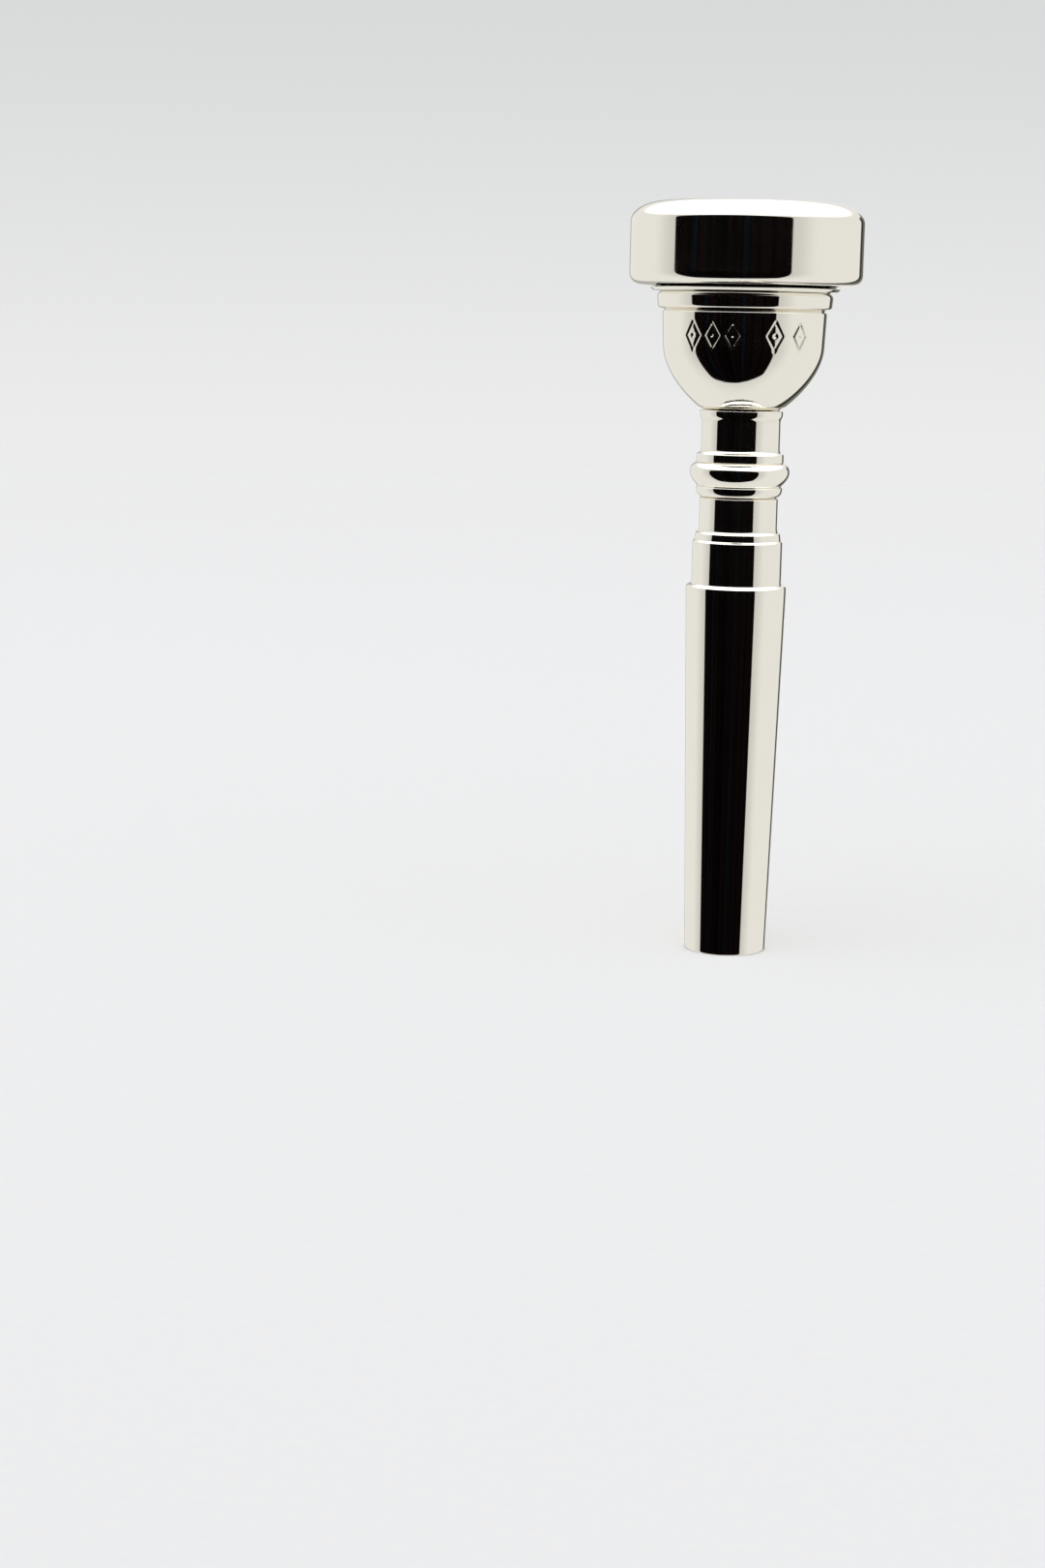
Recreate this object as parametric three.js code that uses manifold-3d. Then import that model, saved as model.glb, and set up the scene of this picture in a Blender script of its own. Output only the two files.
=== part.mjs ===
// A trumpet mouthpiece that unscrews into three turned pieces: a rim, a cup and a backbore.
// A rubber ring seals each screwed joint and rises with the piece above it.
// Millimetres. Z runs along the bore, from the middle of the shank's small end up to the rim.
//
// Across, each joint is built from the air way outwards: wall, thread, wall. Upwards, each length
// stands on the one below it. So one size can change, and what fits to it follows.
import * as THREE from "three";
import { mergeVertices } from "three/addons/utils/BufferGeometryUtils.js";
import Module from "manifold-3d";

const wasm = await Module();
wasm.setup();

// ---- Driving dimensions ----
const FACETS = 32; // flats around every turned surface
const CURVE_STEPS = 3; // straight stretches along a curve of an outline; an ellipse has twice as many

// The air way: the bowl that the lips buzz into, the throat, and the bore that widens below it.
// The bowl is half an ellipse, drawn from a height below the crown.
const bowl = { diameter: 16.0, drop: 1.5, depth: 9.8, floorAbove: 0.55, throatLead: 1.15 };
const throat = { diameter: 3.66, length: 6.6 };
const bore = { flarePower: 1.15 };

// The shank's standard taper, 1 in 20 on the diameter, and the shoulder at its top.
const shank = { endDiameter: 9.7, endWall: 0.65, taper: 1 / 20, length: 43.1, shoulder: 1.0 };

// The turned steps above the shank, from below. A rise is how far each stands out from the neck.
const sleeve = { rise: 0.69, length: 5.3, chamfer: 0.25 };
const band = { rise: 0.43, length: 0.7 };
const lowerNeck = { length: 4.2, cove: 1.0 };
const groove = { depth: 0.25, length: 0.3 };
const lowerRing = { rise: 0.45, cone: 0.65, length: 0.4 };
const bead = { notchRise: 0.2, notch: 0.3, rise: 1.25, length: 2.75 };
const upperRing = { rise: 0.51, length: 0.8 };
const upperNeck = { length: 4.1, cove: 0.8 };
const collar = { grooveDepth: 0.18, groove: 0.3, rise: 0.25, length: 0.78, chamfer: 0.2 };

// The cup's outside, from its foot on the collar upwards. An inset is how far a surface stands
// in from the one above it.
const foot = { inset: 0.16, flare: 0.68, flareHeight: 0.3 };
const bowlWall = { inset: 0.71, taper: 0.18, curveHeight: 6.8, length: 3.95 };
const bowlCurve = { footOut: 0.38, footUp: 0.19, wallIn: 0.04, wallDown: 0.41 };
const cupGroove = { depth: 0.67, length: 0.57 };
const cupBead = { inset: 0.82, length: 1.85, corner: 0.5 };
const flange = { lip: 0.53, edge: 0.15, undercut: 0.15, slope: 0.33 };

// The rim, from the seat on the cup's flange up to the crown.
const rim = { wall: 3.6, height: 9.62, undersideRise: 0.2, cornerWidth: 1.7, cornerHeight: 1.7 };
const crown = { biteStep: 0.05, biteWidth: 1.7, biteDrop: 1.2, drop: 2.3 };
const crownCurve = { wallUp: 0.52, crownOut: 0.56, biteIn: 0.5, biteUp: 0.7 };
const seatWidth = 0.48; // the flat ring on which the rim sits

// The two screwed joints. Both threads are right-handed: 20 mm and 7 mm across, 1 mm pitch.
// start is the height of the first turn's middle above the thread's lower end, runout is what
// is left above the last.
const rimThread = { pitch: 1, turns: 3, stepsPerTurn: 32, start: 1.05, runout: 0.45 };
const stemThread = { pitch: 1, turns: 4, stepsPerTurn: 16, start: 1.0, runout: 0.8 };
const threadForm = { flankAngle: 30, crestFlat: 0.125, depth: 0.55 }; // flat and depth for 1 mm of pitch
const threadGap = { radial: 0.12, flank: 0.09, embed: 0.1 };
const spigot = { wall: 1.576, landStep: 0.2, landLength: 0.9, reliefLength: 0.6, reliefDepth: 0.15 };
const stem = { wall: 0.781, pilotLength: 0.6, pilotGap: 0.35, lipLength: 0.3, chamfer: 0.3 };
const socket = { mouthStep: 0.2, wall: 0.92 };
const seal = { section: 0.8, squeeze: 0.9, gap: 0.05 };
const seatGap = 0.05; // between two faces that are screwed home on each other
const endGap = 0.1; // between the stem's end and the floor of its socket

// ---- Lengths and heights, worked out from the sizes above ----
const glandLength = seal.section + 2 * seal.gap;
const glandDepth = seal.section * seal.squeeze + 2 * seal.gap;
const stemThreadLength = stemThread.start + stemThread.turns * stemThread.pitch + stemThread.runout;
const stemLength = stemThreadLength + stem.lipLength + glandLength + stem.pilotLength;
const spigotThreadLength = rimThread.start + rimThread.turns * rimThread.pitch + rimThread.runout;
const spigotLength = spigotThreadLength + spigot.landLength;

const heights = {};
heights.shoulder = shank.length;
heights.sleeve = heights.shoulder + shank.shoulder;
heights.band = heights.sleeve + sleeve.length;
heights.lowerNeck = heights.band + band.length;
heights.groove = heights.lowerNeck + lowerNeck.length;
heights.lowerRing = heights.groove + groove.length;
heights.notch = heights.lowerRing + lowerRing.cone + lowerRing.length;
heights.bead = heights.notch + bead.notch;
heights.upperRing = heights.bead + bead.length;
heights.upperNeck = heights.upperRing + upperRing.length;
heights.collarGroove = heights.upperNeck + upperNeck.length;
heights.collar = heights.collarGroove + collar.groove;
heights.cupSeat = heights.collar + collar.length;
heights.foot = heights.cupSeat + seatGap;
heights.wall = heights.foot + foot.flareHeight + bowlWall.curveHeight;
heights.cupGroove = heights.wall + bowlWall.length;
heights.cupBead = heights.cupGroove + cupGroove.length;
heights.flange = heights.cupBead + cupBead.length + flange.undercut;
heights.rimSeat = heights.flange + flange.edge + flange.slope;
heights.rimFoot = heights.rimSeat + seatGap;
heights.spigotTop = heights.rimSeat + spigotLength;
heights.rimShoulder = heights.spigotTop + seatGap;
heights.crown = heights.rimFoot + rim.height;
heights.bowl = heights.crown - bowl.drop;
heights.bowlFloor = heights.bowl - bowl.depth + bowl.floorAbove;
heights.throat = heights.bowlFloor - bowl.throatLead;
heights.boreStart = heights.throat - throat.length;
heights.stemEnd = heights.foot - stemLength;
heights.socketFloor = heights.stemEnd - endGap;

// ---- The air way ----
function bowlRadius(z) {
  const down = (heights.bowl - z) / bowl.depth;
  return (bowl.diameter / 2) * Math.sqrt(1 - down * down);
}

function boreRadius(z) {
  const exitRadius = shank.endDiameter / 2 - shank.endWall;
  const down = Math.max(0, (heights.boreStart - z) / heights.boreStart);
  return throat.diameter / 2 + (exitRadius - throat.diameter / 2) * Math.pow(down, bore.flarePower);
}

// ---- Radii, worked out from the air way outwards ----
function threadDepth(screw) {
  return threadForm.depth * screw.pitch;
}

const radii = {};
radii.stemCore = boreRadius(heights.stemEnd) + stem.wall;
radii.stemThread = radii.stemCore + threadDepth(stemThread);
radii.socketMouth = radii.stemThread + socket.mouthStep;
radii.neck = radii.socketMouth + socket.wall;
radii.shoulder = (shank.endDiameter + shank.taper * shank.length) / 2;
radii.foot = radii.neck - foot.inset;
radii.spigotLand = bowlRadius(heights.spigotTop) + spigot.wall;
radii.spigotCore = radii.spigotLand + spigot.landStep;
radii.rimThread = radii.spigotCore + threadDepth(rimThread);
radii.seat = radii.rimThread + threadGap.radial + seatWidth;
radii.flange = radii.seat + flange.lip;
radii.cupBead = radii.flange - cupBead.inset;
radii.wallTop = radii.cupBead - bowlWall.inset;
radii.rim = radii.rimThread + rim.wall;
radii.bite = bowl.diameter / 2 + crown.biteStep;
radii.crown = radii.bite + crown.biteWidth;

// A faceted hole whose flats, not its corners, stand at the radius, so that a shaft turns freely in it.
function holeRadius(radius) {
  return radius / Math.cos(Math.PI / FACETS);
}

function followRadius(outline, radiusAt, fromZ, toZ, steps) {
  for (let i = 0; i <= steps; i++) {
    const z = THREE.MathUtils.lerp(fromZ, toZ, i / steps);
    outline.lineTo(radiusAt(z), z);
  }
}

// ---- Solids ----
function solidOf(geometry) {
  const bare = geometry.clone();
  bare.deleteAttribute("normal");
  bare.deleteAttribute("uv");
  const merged = mergeVertices(bare, 1e-4);
  return new wasm.Manifold(
    new wasm.Mesh({
      numProp: 3,
      vertProperties: merged.attributes.position.array,
      triVerts: merged.index.array,
    }),
  );
}

function geometryOf(solid) {
  const mesh = solid.getMesh();
  const geometry = new THREE.BufferGeometry();
  geometry.setAttribute("position", new THREE.BufferAttribute(mesh.vertProperties, 3));
  geometry.setIndex(new THREE.BufferAttribute(mesh.triVerts, 1));
  geometry.computeVertexNormals();
  return geometry;
}

// Turns a closed outline of (radius, height) points about the Z axis.
function turned(outline) {
  outline.closePath();
  const geometry = new THREE.LatheGeometry(outline.getPoints(CURVE_STEPS), FACETS);
  return solidOf(geometry.rotateX(Math.PI / 2));
}

// ---- Threads ----
// Width of a thread's ridge, along the axis, at a radius.
function ridgeWidth(screw, majorRadius, radius) {
  const flank = Math.tan(THREE.MathUtils.degToRad(threadForm.flankAngle));
  return threadForm.crestFlat * screw.pitch + 2 * (majorRadius - radius) * flank;
}

// A helical ridge whose section is a trapezoid. It sinks to nothing over a quarter turn at each end.
// Turn 0 is at height z0, so two ridges with the same z0 are in step with each other.
function helix(screw, z0, fromTurn, toTurn, rootRadius, crestRadius, halfWidthAt) {
  const first = Math.round(fromTurn * screw.stepsPerTurn);
  const last = Math.round(toTurn * screw.stepsPerTurn);
  const ramp = screw.stepsPerTurn / 4;
  const sunkRadius = rootRadius + threadGap.embed / 4;
  const positions = [];
  const index = [];
  for (let k = first; k <= last; k++) {
    const angle = (2 * Math.PI * k) / screw.stepsPerTurn;
    const z = z0 + (screw.pitch * k) / screw.stepsPerTurn;
    const full = Math.min(1, (k - first) / ramp, (last - k) / ramp);
    const outer = THREE.MathUtils.lerp(sunkRadius, crestRadius, full);
    const corners = [
      [rootRadius, -1],
      [outer, -1],
      [outer, 1],
      [rootRadius, 1],
    ];
    for (const [radius, side] of corners) {
      const height = z + side * halfWidthAt(radius);
      positions.push(radius * Math.cos(angle), radius * Math.sin(angle), height);
    }
  }
  const rings = last - first;
  for (let k = 0; k < rings; k++) {
    for (let side = 0; side < 4; side++) {
      const a = 4 * k + side;
      const b = 4 * k + ((side + 1) % 4);
      index.push(a, a + 4, b, b, a + 4, b + 4);
    }
  }
  const end = 4 * rings;
  index.push(0, 1, 2, 0, 2, 3, end, end + 2, end + 1, end, end + 3, end + 2);
  const geometry = new THREE.BufferGeometry();
  geometry.setAttribute("position", new THREE.Float32BufferAttribute(positions, 3));
  geometry.setIndex(index);
  return solidOf(geometry);
}

function maleThread(screw, majorRadius, z0) {
  const root = majorRadius - threadDepth(screw) - threadGap.embed;
  const halfWidthAt = (radius) => ridgeWidth(screw, majorRadius, radius) / 2;
  return helix(screw, z0, 0, screw.turns, root, majorRadius, halfWidthAt);
}

function nutRadius(screw, majorRadius) {
  return majorRadius - threadDepth(screw) + threadGap.radial;
}

// The cutter for the matching nut runs past the male thread at both ends.
function threadCutter(screw, majorRadius, z0, turnsBelow, turnsAbove) {
  const crest = holeRadius(majorRadius + threadGap.radial);
  const root = nutRadius(screw, majorRadius) - threadGap.embed;
  const halfWidthAt = (radius) => ridgeWidth(screw, majorRadius, radius) / 2 + threadGap.flank;
  return helix(screw, z0, -turnsBelow, screw.turns + turnsAbove, root, crest, halfWidthAt);
}

// ---- The backbore: the tapered shank, the turned rings, and the socket for the cup's stem ----
function backboreOutline() {
  const outline = new THREE.Path();
  outline.moveTo(boreRadius(0), 0);
  outline.lineTo(shank.endDiameter / 2, 0);
  outline.lineTo(radii.shoulder, heights.shoulder);
  sleeveOutline(outline);
  beadOutline(outline);
  collarOutline(outline);
  socketOutline(outline);
  followRadius(outline, boreRadius, heights.socketFloor, 0, 4);
  return outline;
}

// The shoulder over the taper, the plain sleeve, a narrow band and the lower neck.
function sleeveOutline(outline) {
  const sleeveRadius = radii.neck + sleeve.rise;
  const bandRadius = radii.neck + band.rise;
  outline.quadraticCurveTo(radii.shoulder, heights.sleeve, sleeveRadius, heights.sleeve);
  outline.lineTo(sleeveRadius, heights.band - sleeve.chamfer);
  outline.lineTo(bandRadius, heights.band);
  outline.lineTo(bandRadius, heights.lowerNeck);
  outline.quadraticCurveTo(radii.neck, heights.lowerNeck, radii.neck, heights.lowerNeck + lowerNeck.cove);
  outline.lineTo(radii.neck, heights.groove);
}

// The group of rings halfway up: a groove, a small ring, the large bead and a second small ring.
function beadOutline(outline) {
  const beadRadius = radii.neck + bead.rise;
  const ringRadius = radii.neck + lowerRing.rise;
  const upperRadius = radii.neck + upperRing.rise;
  outline.lineTo(radii.neck - groove.depth, heights.groove + groove.length / 2);
  outline.lineTo(radii.neck - groove.depth, heights.lowerRing);
  outline.lineTo(ringRadius, heights.lowerRing + lowerRing.cone);
  outline.lineTo(ringRadius, heights.notch);
  outline.lineTo(radii.neck + bead.notchRise, heights.notch + bead.notch / 2);
  outline.lineTo(radii.neck + bead.notchRise, heights.bead);
  const middle = heights.bead + bead.length / 2;
  outline.quadraticCurveTo(beadRadius, heights.bead + bead.length / 4, beadRadius, middle);
  outline.quadraticCurveTo(beadRadius, heights.upperRing, upperRadius, heights.upperRing);
  outline.lineTo(upperRadius, heights.upperNeck);
}

// The upper neck, the groove over it and the collar that the cup's foot sits on.
function collarOutline(outline) {
  const collarRadius = radii.neck + collar.rise;
  const coveTop = heights.upperNeck + upperNeck.cove;
  outline.quadraticCurveTo(radii.neck, heights.upperNeck, radii.neck, coveTop);
  outline.lineTo(radii.neck, heights.collarGroove);
  outline.lineTo(radii.neck - collar.grooveDepth, heights.collarGroove + collar.groove / 2);
  outline.lineTo(collarRadius, heights.collar);
  outline.lineTo(collarRadius, heights.cupSeat - collar.chamfer);
  outline.lineTo(radii.foot, heights.cupSeat);
}

function socketOutline(outline) {
  const mouth = holeRadius(radii.socketMouth);
  const nut = holeRadius(nutRadius(stemThread, radii.stemThread));
  const step = heights.stemEnd + stemThreadLength - endGap;
  outline.lineTo(mouth, heights.cupSeat);
  outline.lineTo(mouth, step);
  outline.lineTo(nut, step);
  outline.lineTo(nut, heights.socketFloor);
}

function backbore() {
  const z0 = heights.stemEnd + stemThread.start;
  const cutter = threadCutter(stemThread, radii.stemThread, z0, 0.75, 1.5);
  return turned(backboreOutline()).subtract(cutter);
}

// ---- The cup: the bowl, with a threaded stem below and a threaded spigot above ----
function cupOutline() {
  const outline = new THREE.Path();
  outline.moveTo(boreRadius(heights.stemEnd), heights.stemEnd);
  stemOutline(outline);
  wallOutline(outline);
  cupRingsOutline(outline);
  spigotOutline(outline);
  followRadius(outline, bowlRadius, heights.spigotTop, heights.bowlFloor, 6);
  outline.quadraticCurveTo(throat.diameter / 2, heights.bowlFloor, throat.diameter / 2, heights.throat);
  followRadius(outline, boreRadius, heights.boreStart, heights.stemEnd, 2);
  return outline;
}

// The threaded stem, a lip, the groove for the seal and the plain pilot under the foot.
function stemOutline(outline) {
  const core = radii.stemCore;
  const pilot = radii.socketMouth - stem.pilotGap;
  const lip = heights.stemEnd + stemThreadLength;
  const glandFloor = radii.socketMouth - glandDepth;
  const glandBottom = lip + stem.lipLength;
  const glandTop = glandBottom + glandLength;
  outline.lineTo(core - stem.chamfer, heights.stemEnd);
  outline.lineTo(core, heights.stemEnd + stem.chamfer);
  outline.lineTo(core, lip);
  outline.lineTo(pilot, lip);
  outline.lineTo(pilot, glandBottom);
  outline.lineTo(glandFloor, glandBottom);
  outline.lineTo(glandFloor, glandTop);
  outline.lineTo(pilot, glandTop);
  outline.lineTo(pilot, heights.foot);
}

// The cup's outer wall, which sweeps out from the foot and then runs almost straight up.
function wallOutline(outline) {
  const flareRadius = radii.foot + foot.flare;
  const flareZ = heights.foot + foot.flareHeight;
  const wallFoot = radii.wallTop - bowlWall.taper;
  const across = wallFoot - flareRadius;
  outline.lineTo(radii.foot, heights.foot);
  outline.lineTo(flareRadius, flareZ);
  outline.bezierCurveTo(
    flareRadius + bowlCurve.footOut * across,
    flareZ + bowlCurve.footUp * bowlWall.curveHeight,
    wallFoot - bowlCurve.wallIn * across,
    heights.wall - bowlCurve.wallDown * bowlWall.curveHeight,
    wallFoot,
    heights.wall,
  );
  outline.lineTo(radii.wallTop, heights.cupGroove);
}

// The groove over the wall, the round bead, and the thin flange under the rim.
function cupRingsOutline(outline) {
  const grooveRadius = radii.wallTop - cupGroove.depth;
  const beadTop = heights.cupBead + cupBead.length;
  const beadFlat = radii.cupBead - cupBead.corner;
  outline.lineTo(grooveRadius, heights.cupGroove + cupGroove.length / 2);
  outline.lineTo(grooveRadius, heights.cupBead);
  outline.lineTo(beadFlat, heights.cupBead);
  outline.quadraticCurveTo(radii.cupBead, heights.cupBead, radii.cupBead, heights.cupBead + cupBead.corner);
  outline.lineTo(radii.cupBead, beadTop - cupBead.corner);
  outline.quadraticCurveTo(radii.cupBead, beadTop, beadFlat, beadTop);
  outline.lineTo(beadFlat, heights.flange);
  outline.lineTo(radii.flange, heights.flange);
  outline.lineTo(radii.flange, heights.flange + flange.edge);
  outline.lineTo(radii.seat, heights.rimSeat);
}

function spigotOutline(outline) {
  const relief = radii.spigotCore - spigot.reliefDepth;
  const threadTop = heights.rimSeat + spigotThreadLength;
  outline.lineTo(relief, heights.rimSeat);
  outline.lineTo(relief, heights.rimSeat + spigot.reliefLength);
  outline.lineTo(radii.spigotCore, heights.rimSeat + spigot.reliefLength);
  outline.lineTo(radii.spigotCore, threadTop);
  outline.lineTo(radii.spigotLand, threadTop);
  outline.lineTo(radii.spigotLand, heights.spigotTop);
}

function cup() {
  const stemRidge = maleThread(stemThread, radii.stemThread, heights.stemEnd + stemThread.start);
  const spigotRidge = maleThread(rimThread, radii.rimThread, heights.rimSeat + rimThread.start);
  return turned(cupOutline()).add(stemRidge).add(spigotRidge);
}

// ---- The rim: the ring that the lips rest on, with a nut thread inside ----
function rimOutline() {
  const outline = new THREE.Path();
  const undersideZ = heights.rimFoot + rim.undersideRise;
  const mouth = holeRadius(radii.rimThread + threadGap.radial);
  const nut = holeRadius(nutRadius(rimThread, radii.rimThread));
  const gland = holeRadius(radii.spigotLand + glandDepth);
  outline.moveTo(nut, heights.rimFoot + (mouth - nut));
  outline.lineTo(mouth, heights.rimFoot);
  outline.lineTo(radii.seat, heights.rimFoot);
  outline.lineTo(radii.rim - rim.cornerWidth, undersideZ);
  outline.quadraticCurveTo(radii.rim, undersideZ, radii.rim, undersideZ + rim.cornerHeight);
  crownOutline(outline);
  followRadius(outline, bowlRadius, heights.bowl, heights.rimShoulder, 2);
  outline.lineTo(gland, heights.rimShoulder);
  outline.lineTo(gland, heights.rimShoulder - glandLength);
  outline.lineTo(nut, heights.rimShoulder - glandLength);
  return outline;
}

// The round crown, from the outer wall over the high point to the inner edge, the bite.
function crownOutline(outline) {
  const biteZ = heights.crown - crown.biteDrop;
  const wallZ = heights.crown - crown.drop;
  outline.lineTo(radii.rim, wallZ);
  outline.bezierCurveTo(
    radii.rim,
    wallZ + crownCurve.wallUp * crown.drop,
    radii.crown + crownCurve.crownOut * (radii.rim - radii.crown),
    heights.crown,
    radii.crown,
    heights.crown,
  );
  outline.bezierCurveTo(
    radii.crown - crownCurve.biteIn * crown.biteWidth,
    heights.crown,
    radii.bite,
    biteZ + crownCurve.biteUp * crown.biteDrop,
    radii.bite,
    biteZ,
  );
}

function rimRing() {
  const z0 = heights.rimSeat + rimThread.start;
  const cutter = threadCutter(rimThread, radii.rimThread, z0, 1.5, 0.25);
  return turned(rimOutline()).subtract(cutter);
}

// ---- The rubber seals, each drawn as it is when squeezed in its groove ----
function sealRing(innerRadius, middleZ) {
  const outline = new THREE.Path();
  const inner = holeRadius(innerRadius);
  const outer = innerRadius + seal.section * seal.squeeze;
  const halfWidth = (outer - inner) / 2;
  outline.absellipse(inner + halfWidth, middleZ, halfWidth, seal.section / 2, 0, 2 * Math.PI);
  return turned(outline);
}

function backboreSeal() {
  const glandFloor = radii.socketMouth - glandDepth;
  const glandTop = heights.foot - stem.pilotLength;
  return sealRing(glandFloor + seal.gap, glandTop - glandLength / 2);
}

function rimSeal() {
  return sealRing(radii.spigotLand + seal.gap, heights.rimShoulder - glandLength / 2);
}

// ---- The assembly ----
const silverPlate = { color: 0xe6e2d6, metalness: 1, roughness: 0.08 };
const blackRubber = { color: 0x1c1c1d, metalness: 0, roughness: 0.6 };

function part(name, solid, finish) {
  const mesh = new THREE.Mesh(geometryOf(solid), new THREE.MeshStandardMaterial(finish));
  mesh.name = name;
  return mesh;
}

const mouthpiece = new THREE.Group();
mouthpiece.add(part("backbore", backbore(), silverPlate));
mouthpiece.add(part("backbore_seal", backboreSeal(), blackRubber));
mouthpiece.add(part("cup", cup(), silverPlate));
mouthpiece.add(part("rim_seal", rimSeal(), blackRubber));
mouthpiece.add(part("rim", rimRing(), silverPlate));

export default mouthpiece;
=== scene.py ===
# %% [markdown]
# # A trumpet mouthpiece that comes apart into three
#
# The object is turned from brass bar on a lathe, polished, and plated with silver. It unscrews
# into a rim, a cup and a backbore, and a rubber ring seals each of the two screwed joints. The
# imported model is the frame: it says where every piece is, how large it is and how it moves. This
# lesson makes what the eye meets: the rounded edges, the threads, the air way and the silver.

import math

import bpy
import numpy as np
from mathutils import Matrix, Vector


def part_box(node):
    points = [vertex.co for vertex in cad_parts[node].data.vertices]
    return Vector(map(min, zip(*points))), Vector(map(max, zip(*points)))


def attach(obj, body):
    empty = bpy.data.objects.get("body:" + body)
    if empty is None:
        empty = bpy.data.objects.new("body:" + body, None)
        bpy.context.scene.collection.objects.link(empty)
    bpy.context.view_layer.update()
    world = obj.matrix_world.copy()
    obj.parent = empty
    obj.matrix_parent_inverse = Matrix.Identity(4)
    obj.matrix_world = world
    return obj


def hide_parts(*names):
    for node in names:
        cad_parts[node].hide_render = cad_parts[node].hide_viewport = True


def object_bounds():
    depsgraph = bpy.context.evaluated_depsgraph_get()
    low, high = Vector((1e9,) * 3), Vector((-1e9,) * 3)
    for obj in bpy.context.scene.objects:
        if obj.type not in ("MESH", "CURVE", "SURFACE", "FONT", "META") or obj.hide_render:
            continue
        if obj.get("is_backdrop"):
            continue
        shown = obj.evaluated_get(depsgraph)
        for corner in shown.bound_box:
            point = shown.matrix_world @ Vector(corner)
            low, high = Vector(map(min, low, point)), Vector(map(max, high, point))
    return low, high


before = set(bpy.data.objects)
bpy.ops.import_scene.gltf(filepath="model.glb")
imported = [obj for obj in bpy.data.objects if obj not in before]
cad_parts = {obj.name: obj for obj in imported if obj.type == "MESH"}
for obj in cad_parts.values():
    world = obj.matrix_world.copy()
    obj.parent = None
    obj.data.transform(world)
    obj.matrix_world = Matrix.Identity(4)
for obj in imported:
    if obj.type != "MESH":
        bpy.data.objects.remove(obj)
CAD_BOX = [list(corner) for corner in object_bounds()]
bpy.ops.object.select_all(action="DESELECT")

# %% [markdown]
# ## Units
#
# A turner's drawing is in millimetres and Blender's scene is in metres. The outlines below stay in
# the turner's millimetres, and are scaled by MM at the one place where they become vertices.

# %% Units and the heights that the frame gives
MM = 0.001


def reach(node):
    """Lowest height, highest height and radius of a node of the frame, in mm."""
    low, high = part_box(node)
    return low.z / MM, high.z / MM, high.x / MM


SHANK_BOTTOM, CUP_SEAT, _ = reach("backbore")
STEM_END, SPIGOT_TOP, FLANGE_RADIUS = reach("cup")
RIM_FOOT, CROWN, RIM_RADIUS = reach("rim")
print(f"rim {RIM_FOOT:.2f} to {CROWN:.2f} mm, {2 * RIM_RADIUS:.1f} mm across")

# %% [markdown]
# ## The camera
#
# The camera stands a little above the object and has a short telephoto lens, so that the rim shows
# as a thin ellipse. It is leaned a touch, which leans the object the other way in the frame. Depth
# of field stays off, so every edge is sharp in each view.

# %% Camera
CAMERA_PLACE = (-0.0249, -0.3213, 0.0733)
CAMERA_DOWN = math.radians(9.49)
CAMERA_LEAN = math.radians(1.12)
CAMERA_LENS = 62.2

level = Matrix.Rotation(math.radians(90) - CAMERA_DOWN, 4, "X")
leaned = level @ Matrix.Rotation(CAMERA_LEAN, 4, "Z")
bpy.ops.object.camera_add(location=CAMERA_PLACE, rotation=leaned.to_euler())
camera = bpy.context.object
camera.name = "studio_camera"
camera.data.lens = CAMERA_LENS
camera.data.sensor_width = 36
bpy.context.scene.camera = camera
print("camera stands", round(Vector(CAMERA_PLACE).length / MM), "mm from the shank's end")

# %% [markdown]
# ## Colours and nodes
#
# Colours are picked on screen as sRGB hex values, and shaders work with linear light, so one
# function turns the first into the second. A second one adds a node to a tree with its settings
# and its inputs. An input is either a number or the output that feeds it.

# %% Colour and node helpers
MIX_FACTOR, MIX_A, MIX_B, MIX_RESULT = 0, 6, 7, 2


def linear(hex_colour):
    """'#RRGGBB' in sRGB as linear light, with full alpha."""
    values = [int(hex_colour[i : i + 2], 16) / 255 for i in (1, 3, 5)]
    light = [v / 12.92 if v <= 0.04045 else ((v + 0.055) / 1.055) ** 2.4 for v in values]
    return (*light, 1.0)


def add(tree, kind, inputs=None, **settings):
    """Adds one node. An input's value is a number or colour, or the output that feeds it."""
    node = tree.nodes.new(kind)
    for field, value in settings.items():
        setattr(node, field, value)
    for socket, value in (inputs or {}).items():
        if isinstance(value, bpy.types.NodeSocket):
            tree.links.new(value, node.inputs[socket])
        else:
            node.inputs[socket].default_value = value
    return node


print("linear light of #808080:", [round(v, 3) for v in linear("#808080")[:3]])

# %% [markdown]
# ## The studio round the object
#
# Polished silver has almost no look of its own: it shows the room. A studio for silver is white
# card all round, with a black card on the camera's side and narrow dark strips behind the object,
# which draw the thin dark lines down its edges. The room could be built from real cards and
# lamps. Here it is painted on the sky, where it costs nothing, casts no stray
# shadow and stays in place when the camera moves. Only reflections see it. The floor is lit by
# plain soft white, and the camera sees a pale backdrop.

# %% The cards of the studio
# A card stands upright on the side at azimuth "faces" (0 is the front, 90 the right). Its middle,
# half size, corner radius and soft edge are measured in its distance from the object.
STUDIO = {
    "black_card": {"faces": -19, "middle": (-0.02, -1.13), "half": (1.71, 1.71), "corner": 0.25, "soft": 0.1},
    "dark_strip": {"faces": 147.5, "middle": (0, -2.4), "half": (0.09, 2.65), "corner": 0.03, "soft": 0.04},
    "dim_strip": {"faces": 157, "middle": (0, -2.4), "half": (0.1, 2.65), "corner": 0.03, "soft": 0.06},
    "grey_strip": {"faces": -176, "middle": (0, -2.4), "half": (0.14, 2.65), "corner": 0.03, "soft": 0.06},
}


def card_axes(azimuth):
    """The level direction towards an azimuth in degrees, and the one to its right."""
    angle = math.radians(azimuth)
    return (math.sin(angle), -math.cos(angle), 0), (math.cos(angle), math.sin(angle), 0)


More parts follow.
